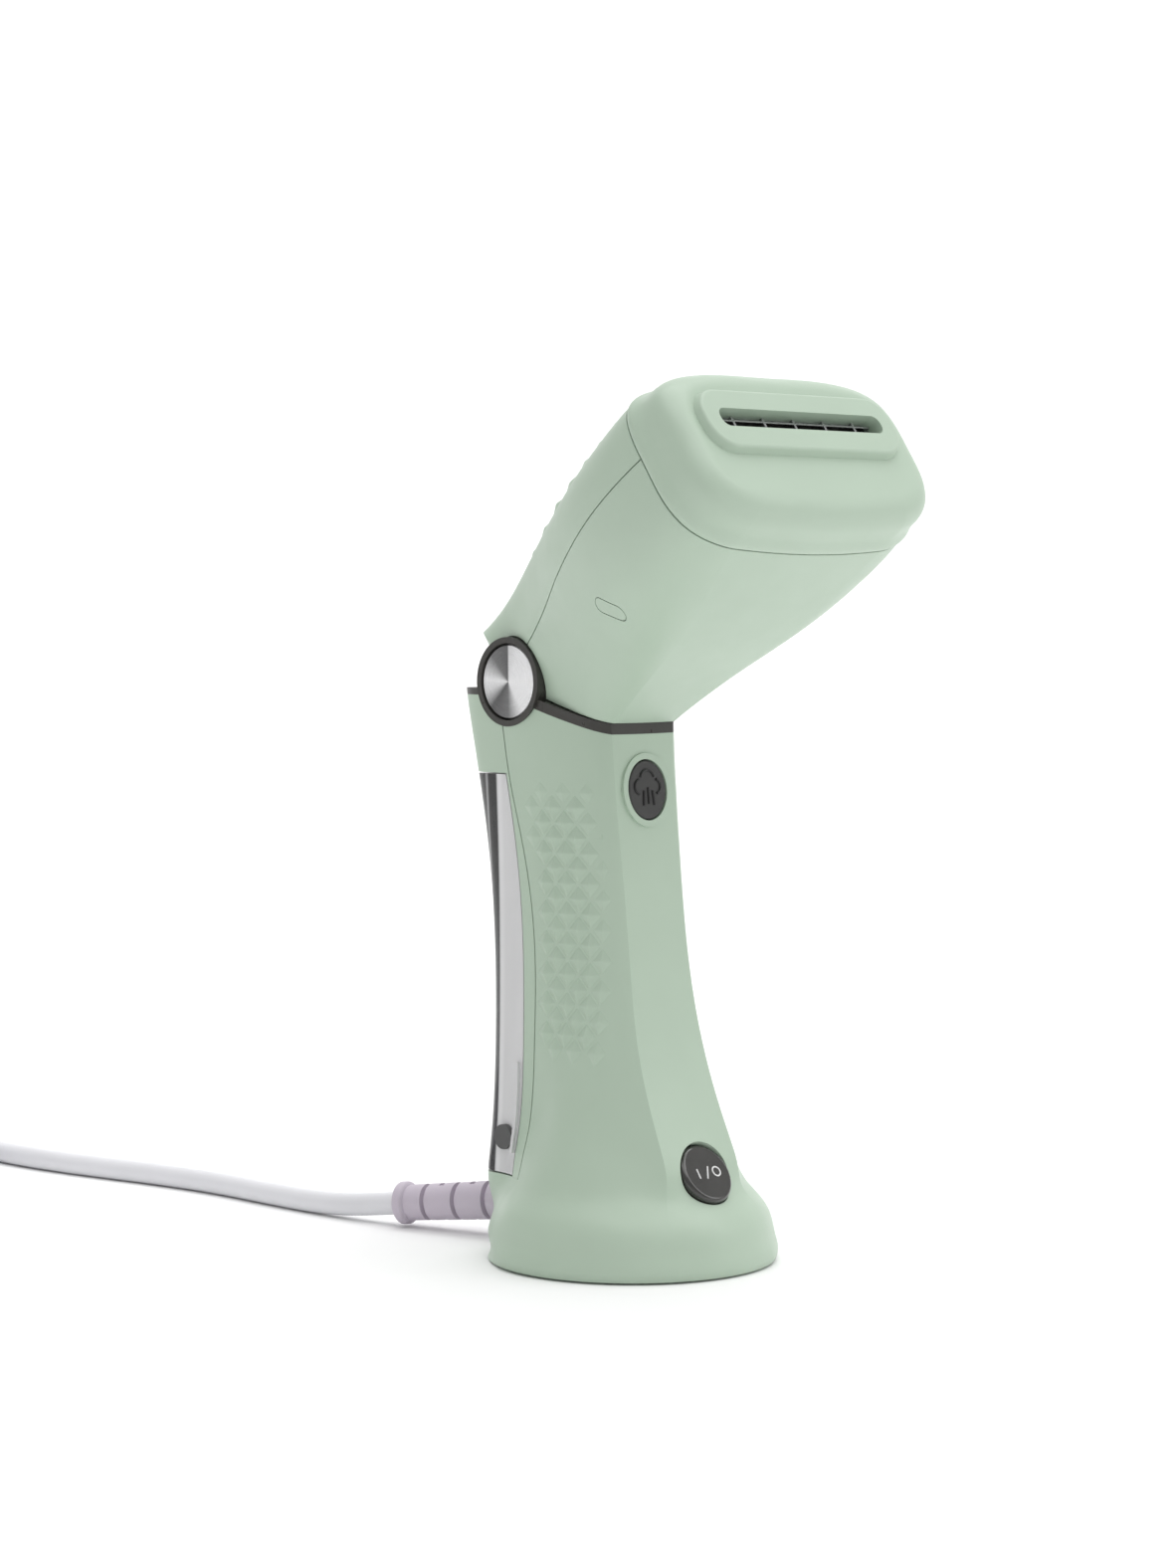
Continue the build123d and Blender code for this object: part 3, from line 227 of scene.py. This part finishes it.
def turned_metal_painted_reflection(name, centre):
    """Disc turned on a lathe: concentric lines, and bright and dark sectors of reflection painted into its
    colour.
    """
    material, nodes, links = new_material(name)
    shader = nodes["Principled BSDF"]
    place = nodes.new("ShaderNodeTexCoord")
    offset = nodes.new("ShaderNodeVectorMath")
    offset.operation = "SUBTRACT"
    offset.inputs[1].default_value = centre
    split = nodes.new("ShaderNodeSeparateXYZ")
    links.new(place.outputs["Object"], offset.inputs[0])
    links.new(offset.outputs["Vector"], split.inputs["Vector"])
    angle = nodes.new("ShaderNodeMath")
    angle.operation = "ARCTAN2"
    links.new(split.outputs["Y"], angle.inputs[0])
    links.new(split.outputs["Z"], angle.inputs[1])
    share = nodes.new("ShaderNodeMapRange")
    share.inputs["From Min"].default_value = -pi
    share.inputs["From Max"].default_value = pi
    links.new(angle.outputs["Value"], share.inputs["Value"])
    # painted reflection: bright and dark sectors of reflected light in the base colour, counterclockwise
    # from straight down as seen from the left side
    painted_reflection_sectors = [(0.0, 0.22), (0.10, 0.92), (0.25, 1.0), (0.42, 0.95), (0.495, 0.80), (0.505, 0.16),
               (0.62, 0.24), (0.74, 0.95), (0.80, 0.75), (0.88, 0.14), (1.0, 0.22)]
    length = nodes.new("ShaderNodeVectorMath")
    length.operation = "LENGTH"
    links.new(offset.outputs["Vector"], length.inputs[0])
    rings = nodes.new("ShaderNodeMath")
    rings.operation = "MULTIPLY"
    rings.inputs[1].default_value = 9000
    links.new(length.outputs["Value"], rings.inputs[0])
    wave = nodes.new("ShaderNodeTexNoise")
    wave.noise_dimensions = "1D"
    wave.inputs["Scale"].default_value = 1.0
    links.new(rings.outputs["Value"], wave.inputs["W"])
    # the sector ramp paints reflection into the base colour
    links.new(ramped(nodes, links, share.outputs["Result"], painted_reflection_sectors), shader.inputs["Base Color"])
    links.new(spread(nodes, links, wave.outputs["Fac"], 0.2, 0.34), shader.inputs["Roughness"])
    links.new(bump(nodes, links, wave.outputs["Fac"], 0.3, 0.00003), shader.inputs["Normal"])
    shader.inputs["Metallic"].default_value = 0.9
    shader.inputs["Anisotropic"].default_value = 0.7
    return material


def clear_plastic(name, tint, rough, transmission):
    """Translucent moulding with faint flow marks."""
    material, nodes, links = new_material(name)
    shader = nodes["Principled BSDF"]
    flow = noise(nodes, links, 60, 3, (1, 1, 0.3))
    darker = tuple(c * 0.96 for c in tint)
    links.new(tinted(nodes, links, flow, darker, tint), shader.inputs["Base Color"])
    links.new(spread(nodes, links, flow, *rough), shader.inputs["Roughness"])
    links.new(bump(nodes, links, flow, 0.05, 0.0003), shader.inputs["Normal"])
    shader.inputs["Transmission Weight"].default_value = transmission
    shader.inputs["IOR"].default_value = 1.45
    return material


def tank_with_painted_light(name):
    """Tank moulding: frosted on its sides, painted shade round its rear corners, a painted highlight line
    between.
    """
    material, nodes, links = new_material(name)
    shader = nodes["Principled BSDF"]
    place = nodes.new("ShaderNodeTexCoord")
    split = nodes.new("ShaderNodeSeparateXYZ")
    links.new(place.outputs["Object"], split.inputs["Vector"])
    depth = nodes.new("ShaderNodeMapRange")
    depth.inputs["From Min"].default_value = TANK_BLEND[0] * MM
    depth.inputs["From Max"].default_value = TANK_BLEND[1] * MM
    links.new(split.outputs["Y"], depth.inputs["Value"])
    # frosted, painted highlight line, painted shade, painted thin reflection, painted shade
    stops = [(0.0, 0.90), (0.40, 0.88), (0.46, 1.0), (0.50, 0.96), (0.53, 0.03), (0.66, 0.03),
             (0.70, 0.50), (0.74, 0.03), (1.0, 0.05)]
    flow = noise(nodes, links, 60, 3, (1, 1, 0.3))
    mix = nodes.new("ShaderNodeMix")
    mix.data_type = "RGBA"
    mix.blend_type = "MULTIPLY"
    mix.inputs["Factor"].default_value = 0.25
    # the ramp's dark bands are painted shade, its bright bands painted highlight and reflection, in the
    # base colour
    links.new(ramped(nodes, links, depth.outputs["Result"], stops), mix.inputs["A"])
    links.new(spread(nodes, links, flow, 0.7, 1.0), mix.inputs["B"])
    links.new(mix.outputs["Result"], shader.inputs["Base Color"])
    links.new(spread(nodes, links, flow, 0.06, 0.14), shader.inputs["Roughness"])
    links.new(bump(nodes, links, flow, 0.05, 0.0003), shader.inputs["Normal"])
    shader.inputs["Transmission Weight"].default_value = 0.30
    shader.inputs["IOR"].default_value = 1.45
    return material


# y span in mm of the tank's painted highlight and painted shade bands
TANK_BLEND = (22.0, 46.0)
GREEN = (0.450, 0.560, 0.450)
MATERIALS = {
    "green_shell": plastic("green_shell", GREEN, rough=(0.36, 0.46), shade=0.975),
    "trim_grey": plastic("trim_grey", (0.050, 0.048, 0.043), rough=(0.26, 0.38), shade=0.8),
    "pin_steel": metal("pin_steel", (0.62, 0.62, 0.63)),
    "washer_nylon": plastic("washer_nylon", (0.72, 0.70, 0.64)),
    "base_grey": plastic("base_grey", (0.16, 0.16, 0.16), rough=(0.5, 0.6)),
    "rubber_grey": plastic("rubber_grey", (0.10, 0.10, 0.10), rough=(0.6, 0.75), grain_depth=0.00005),
    "pump_black": plastic("pump_black", (0.03, 0.03, 0.03)),
    "board_green": plastic("board_green", (0.03, 0.13, 0.06), rough=(0.2, 0.35), coat=0.4),
    "bezel_black": plastic("bezel_black", (0.006, 0.006, 0.006), rough=(0.12, 0.2), coat=0.5),
    "button_grey": plastic("button_grey", (0.040, 0.040, 0.039), rough=(0.34, 0.44), shade=0.85),
    "hose_silicone": plastic("hose_silicone", (0.75, 0.75, 0.72), subsurface=0.3),
    "relief_lavender": plastic("relief_lavender", (0.58, 0.52, 0.60), rough=(0.42, 0.55)),
    "lead_white": plastic("lead_white", (0.76, 0.76, 0.79), rough=(0.28, 0.40), shade=0.96, coat=0.15),
    "tie_black": plastic("tie_black", (0.02, 0.02, 0.02), rough=(0.5, 0.7)),
    "steam_steel": metal("steam_steel", (0.42, 0.42, 0.43), streak=(1, 30, 30)),
    "boiler_aluminium": metal("boiler_aluminium", (0.72, 0.72, 0.72), rough=(0.4, 0.6), streak=(1, 1, 1)),
    "thermal_parts": metal("thermal_parts", (0.72, 0.60, 0.36)),
    "knuckle_plastic": plastic("knuckle_plastic", (0.05, 0.05, 0.05)),
    "tank_clear": tank_with_painted_light("tank_clear"),
    "tank_fittings": clear_plastic("tank_fittings", (0.62, 0.63, 0.63), rough=(0.2, 0.3), transmission=0.3),
}
GLOSS_BUTTON = plastic("button_gloss", (0.034, 0.033, 0.030), rough=(0.16, 0.24), shade=0.8, coat=0.6)
MARK_WHITE = plastic("mark_white", (0.82, 0.82, 0.82), rough=(0.4, 0.5))
MARK_BLACK = plastic("mark_black", (0.008, 0.008, 0.008), rough=(0.4, 0.5))


def dress(obj, material):
    """Give the object this material and no other."""
    obj.data.materials.clear()
    obj.data.materials.append(material)


for part in frame["record"]["subparts"]:
    if part["material_slot"] in MATERIALS:
        dress(NODES[part["node"]], MATERIALS[part["material_slot"]])
HINGE = mm(0, 28.8, 165.2)
for side, name in ((-1, "hinge_cap_left"), (1, "hinge_cap_right")):
    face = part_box(name)[0 if side < 0 else 1].x
    dress(NODES[name], turned_metal_painted_reflection(name, (face, HINGE.y, HINGE.z)))
dress(NODES["power_button"], GLOSS_BUTTON)

# ---------------------------------------------------------------- strain relief
RELIEF_FROM, RELIEF_TO = mm(2.3, 31.6, 13.1), mm(-14, 85, 6.9)
RELIEF_NECK, RELIEF_TIP, RELIEF_FLANGE = 6.1, 5.3, 6.4
FLANGE_LENGTH, SLIT_FROM, SLIT_PITCH, SLIT_WIDTH, SLIT_DEPTH = 4.0, 13.0, 5.4, 1.5, 1.9
SLITS = 7
RELIEF_HIDDEN = 8.0          # the sleeve starts this far inside the housing


def relief_radius(along, length, angle):
    """Outside radius of the sleeve, with slits cut in turn from the left and the right."""
    if along > length - FLANGE_LENGTH:
        edge = min(along - (length - FLANGE_LENGTH), length - along) / 1.2
        return RELIEF_FLANGE - 1.2 * (1 - min(1.0, edge)) ** 2
    radius = RELIEF_NECK + (RELIEF_TIP - RELIEF_NECK) * along / length
    slit = round((along - SLIT_FROM) / SLIT_PITCH)
    offset = abs(along - SLIT_FROM - slit * SLIT_PITCH)
    side = 1 if slit % 2 else -1
    if 0 <= slit < SLITS and offset < SLIT_WIDTH / 2 and cos(angle) * side > -0.35:
        radius -= SLIT_DEPTH
    return radius


def relief_piece():
    """Sleeve of the strain relief with its slits and its end flange."""
    axis = RELIEF_TO - RELIEF_FROM
    length = axis.length / MM
    axis.normalize()
    across = axis.cross(Vector((0, 0, 1))).normalized()
    up = across.cross(axis)
    stations, around = 280, 96
    points, faces = [], []
    for i in range(stations + 1):
        along = RELIEF_HIDDEN + (length - RELIEF_HIDDEN) * i / stations
        for j in range(around):
            angle = 2 * pi * j / around
            reach = relief_radius(along, length, angle) * MM
            points.append(RELIEF_FROM + axis * along * MM + (across * cos(angle) + up * sin(angle)) * reach)
    for i in range(stations):
        for j in range(around):
            k = (j + 1) % around
            faces.append((i * around + j, i * around + k, (i + 1) * around + k, (i + 1) * around + j))
    faces.append(tuple(range(around))[::-1])
    faces.append(tuple(stations * around + j for j in range(around)))
    mesh = bpy.data.meshes.new("relief_sleeve")
    mesh.from_pydata(points, [], faces)
    for polygon in mesh.polygons:
        polygon.use_smooth = True
    obj = link(bpy.data.objects.new("relief_sleeve", mesh))
    bevel = obj.modifiers.new("sharp edges", "EDGE_SPLIT")
    bevel.split_angle = radians(40)
    return obj


relief = relief_piece()
dress(relief, MATERIALS["relief_lavender"])
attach(relief, "handle")
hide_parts("strain_relief")

# ---------------------------------------------------------------- lead
lead = nurbs("mains_lead", LEAD_START + coil_points() + LEAD_END, LEAD_D / 2)
dress(lead, MATERIALS["lead_white"])
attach(lead, "handle")
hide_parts("power_cord", "cord_coil", "plug_lead")


# ---------------------------------------------------------------- marks on the buttons
def arc(centre, radius, start, end, steps=10):
    """Points of an arc, angles in degrees."""
    turns = [radians(start + (end - start) * i / steps) for i in range(steps + 1)]
    return [(centre[0] + radius * cos(t), centre[1] + radius * sin(t)) for t in turns]


def marks(name, origin, out, strokes, radius, material, body):
    """Thin rounded strokes on a button's face, given in millimetres across and up the face."""
    up = out.normalized().cross(Vector((1, 0, 0)))
    curve = bpy.data.curves.new(name, "CURVE")
    curve.dimensions = "3D"
    curve.bevel_depth = radius * MM
    curve.bevel_resolution = 3
    curve.use_fill_caps = True
    for stroke in strokes:
        spline = curve.splines.new("POLY")
        spline.points.add(len(stroke) - 1)
        for point, (x, y) in zip(spline.points, stroke):
            point.co = (*(origin + Vector((x * MM, 0, 0)) + up * y * MM), 1)
    obj = link(bpy.data.objects.new(name, curve))
    dress(obj, material)
    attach(obj, body)


STEAM_OUT, STEAM_FACE = Vector((0, -0.9943, 0.1064)), 0.7
STEAM_AT = mm(0, -5.5, 134.7) + STEAM_OUT * STEAM_FACE * MM
CLOUD = [arc((-2.9, 0.9), 2.1, 255, 100), arc((0.1, 2.9), 2.8, 165, 15), arc((3.0, 0.9), 2.1, 75, -75)]
PLUMES = [[(-1.5, -0.2), (-1.9, -4.4)], [(0.2, 0.7), (0.2, -4.0)], [(1.9, -0.2), (2.3, -4.4)]]
marks("steam_mark", STEAM_AT, STEAM_OUT, CLOUD + PLUMES, 0.42, MARK_BLACK, "steam_button")

POWER_OUT, POWER_FACE = Vector((0, -0.8308, 0.5566)), 1.5
POWER_AT = mm(0, -28.9, 27.3) + POWER_OUT * POWER_FACE * MM
SWITCH = [[(-3.6, -1.5), (-3.6, 1.5)], [(-0.9, -1.8), (0.9, 1.8)], arc((3.5, 0), 1.4, 0, 360, 24)]
marks("power_mark", POWER_AT, POWER_OUT, SWITCH, 0.24, MARK_WHITE, "power_button")


# ---------------------------------------------------------------- raised diamonds
SINK = 0.15 * MM             # the pyramids' corners lie this far under the surface
REACH = 0.48                 # from a pyramid's tip to its corners, as a share of the pitch
CORNERS = ((-REACH, 0), (0, -REACH), (REACH, 0), (0, REACH))
SMALLEST = 0.05              # share of the full height under which a pyramid is left out


def surface_of(name):
    """Search tree over the surface of a CAD node."""
    mesh = NODES[name].data
    return BVHTree.FromPolygons([v.co.copy() for v in mesh.vertices],
                                [list(polygon.vertices) for polygon in mesh.polygons])


def diamond_field(name, tree, rows, columns, place, direction, height, keep):
    """Pyramids on a staggered grid, each corner dropped onto the surface along a direction."""
    mesh = bmesh.new()

    def landed(a, b, lift):
        """Place on the surface under a grid position, lifted off it."""
        origin = place(a, b)
        hit, normal, _, _ = tree.ray_cast(origin, direction)
        if hit is None:
            return None
        if normal.dot(direction) > 0:
            normal = -normal
        return hit + normal * lift

    for row in range(rows * 2):
        for column in range(columns + 1):
            a = column + (0.5 if row % 2 else 0.0)
            b = row / 2
            size = keep(a, b)
            if size <= SMALLEST:
                continue
            corners = [landed(a + da, b + db, -SINK) for da, db in CORNERS]
            tip = landed(a, b, height * size)
            if tip is None or None in corners:
                continue
            verts = [mesh.verts.new(p) for p in corners] + [mesh.verts.new(tip)]
            for i in range(4):
                mesh.faces.new((verts[i], verts[(i + 1) % 4], verts[4]))
            mesh.faces.new(verts[3::-1])
    bmesh.ops.recalc_face_normals(mesh, faces=mesh.faces)
    data = bpy.data.meshes.new(name)
    mesh.to_mesh(data)
    mesh.free()
    obj = link(bpy.data.objects.new(name, data))
    bevel = obj.modifiers.new("soft edges", "BEVEL")
    bevel.width = 0.25 * MM
    bevel.segments = 2
    bevel.limit_method = "ANGLE"
    bevel.angle_limit = radians(4)
    dress(obj, MATERIALS["green_shell"])
    for polygon in data.polygons:
        polygon.use_smooth = False
    return obj


GRIP_PITCH = (7.6, 8.6)
GRIP_FRONT, GRIP_FOOT = -8.5, 61.0
GRIP_COLUMNS, GRIP_ROWS = 4, 9
GRIP_HEIGHT = 1.55 * MM
housing = surface_of("front_housing")
for side, label in ((-1, "left"), (1, "right")):
    def grip_place(a, b, side=side):
        """Place beside the handle of a grid position, the columns leaning with the seam."""
        lean = 2.2 * (b / GRIP_ROWS) ** 2
        return mm(side * 60, GRIP_FRONT + lean + (a + 0.5) * GRIP_PITCH[0], GRIP_FOOT + b * GRIP_PITCH[1])

    def grip_keep(a, b):
        """Diamonds fade out towards the field's border."""
        across = min(a + 0.6 - 1.1 * (b / GRIP_ROWS) ** 2, GRIP_COLUMNS - 0.7 - a)
        along = min(b + 0.7, GRIP_ROWS - b - 0.2)
        return max(0.0, min(1.0, across + 0.2, along))

    field = diamond_field(f"grip_{label}", housing, GRIP_ROWS, GRIP_COLUMNS, grip_place,
                          Vector((-side, 0, 0)), GRIP_HEIGHT, grip_keep)
    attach(field, "handle")

HEAD_RISE = radians(34.4)
HEAD_AXIS = Vector((0, -cos(HEAD_RISE), sin(HEAD_RISE)))
HEAD_UP = Vector((0, sin(HEAD_RISE), cos(HEAD_RISE)))
COVER_PITCH = (8.4, 7.6)
COVER_START, COVER_ROWS, COVER_COLUMNS = 14.0, 11, 9
COVER_HEIGHT = 1.3 * MM
COVER_ABOVE = 60 * MM


def cover_place(a, b):
    """Place above the head's rear cover of a grid position."""
    across = (a - COVER_COLUMNS / 2) * COVER_PITCH[0] * MM
    along = (COVER_START + b * COVER_PITCH[1]) * MM
    return HINGE + HEAD_AXIS * along + HEAD_UP * COVER_ABOVE + Vector((across, 0, 0))


def cover_keep(a, b):
    """The field widens with the head and fades out at its border."""
    half_width = 1.5 + 3.0 * min(1.0, b / 6)
    across = half_width - abs(a - COVER_COLUMNS / 2)
    along = min(b + 0.6, COVER_ROWS - b - 0.2)
    return max(0.0, min(1.0, across + 0.5, along))


cover_field = diamond_field("cover_relief", surface_of("head_rear_cover"), COVER_ROWS, COVER_COLUMNS,
                            cover_place, -HEAD_UP, COVER_HEIGHT, cover_keep)
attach(cover_field, "head")

# ---------------------------------------------------------------- floor, light
FLOOR_HALF, SWEEP_AT, SWEEP_R, WALL_TOP = 4.0, 1.6, 0.8, 3.0
SWEEP_STEPS = 12
profile = [(-FLOOR_HALF, 0.0)]
for step in range(SWEEP_STEPS + 1):
    turn = step / SWEEP_STEPS * pi / 2
    profile.append((SWEEP_AT + SWEEP_R * sin(turn), SWEEP_R * (1 - cos(turn))))
profile.append((SWEEP_AT + SWEEP_R, WALL_TOP))
away = Vector((CAMERA_LOOK.x, CAMERA_LOOK.y, 0)).normalized()
sideways = Vector((away.y, -away.x, 0))
floor_points = []
for distance, height in profile:
    for end in (-FLOOR_HALF, FLOOR_HALF):
        floor_points.append(away * distance + sideways * end + Vector((0, 0, height)))
floor_faces = [(2 * i, 2 * i + 1, 2 * i + 3, 2 * i + 2) for i in range(len(profile) - 1)]
floor_mesh = bpy.data.meshes.new("floor")
floor_mesh.from_pydata(floor_points, [], floor_faces)
for polygon in floor_mesh.polygons:
    polygon.use_smooth = True
floor = link(bpy.data.objects.new("floor", floor_mesh))
dress(floor, plastic("floor", (0.93, 0.93, 0.93), rough=(0.8, 0.9), shade=0.995, grain_depth=0.0,
                     specular=0.1))

world = bpy.data.worlds.new("studio")
scene.world = world
world.use_nodes = True
world.node_tree.nodes["Background"].inputs["Color"].default_value = (1, 1, 1, 1)
world.node_tree.nodes["Background"].inputs["Strength"].default_value = 0.50


def aimed(lamp, place, target):
    """Put a lamp in its place, shining at the target."""
    lamp.location = place
    lamp.rotation_euler = (Vector(target) - Vector(place)).to_track_quat("-Z", "Y").to_euler()


def softbox(name, place, target, size, power):
    """Rectangular area light."""
    light = bpy.data.lights.new(name, "AREA")
    light.shape = "RECTANGLE"
    light.size, light.size_y = size
    light.energy = power
    aimed(link(bpy.data.objects.new(name, light)), place, target)


sky = bpy.data.lights.new("overhead", "SUN")
sky.angle = radians(70)
sky.energy = 1.7
aimed(link(bpy.data.objects.new("overhead", sky)), (0.1, -0.3, 2), (0, 0, 0))
softbox("key", (0.9, -1.0, 0.9), (0, 0, 0.15), (0.5, 1.1), 3.5)
softbox("wall", away * 0.9 + Vector((0, 0, 2.2)), away * 2.4 + Vector((0, 0, 1.0)), (3.0, 1.0), 26)
scene.view_settings.view_transform = "Standard"


def corners(bounds):
    """A box's two corners as plain lists."""
    return [[float(v) for v in corner] for corner in bounds]
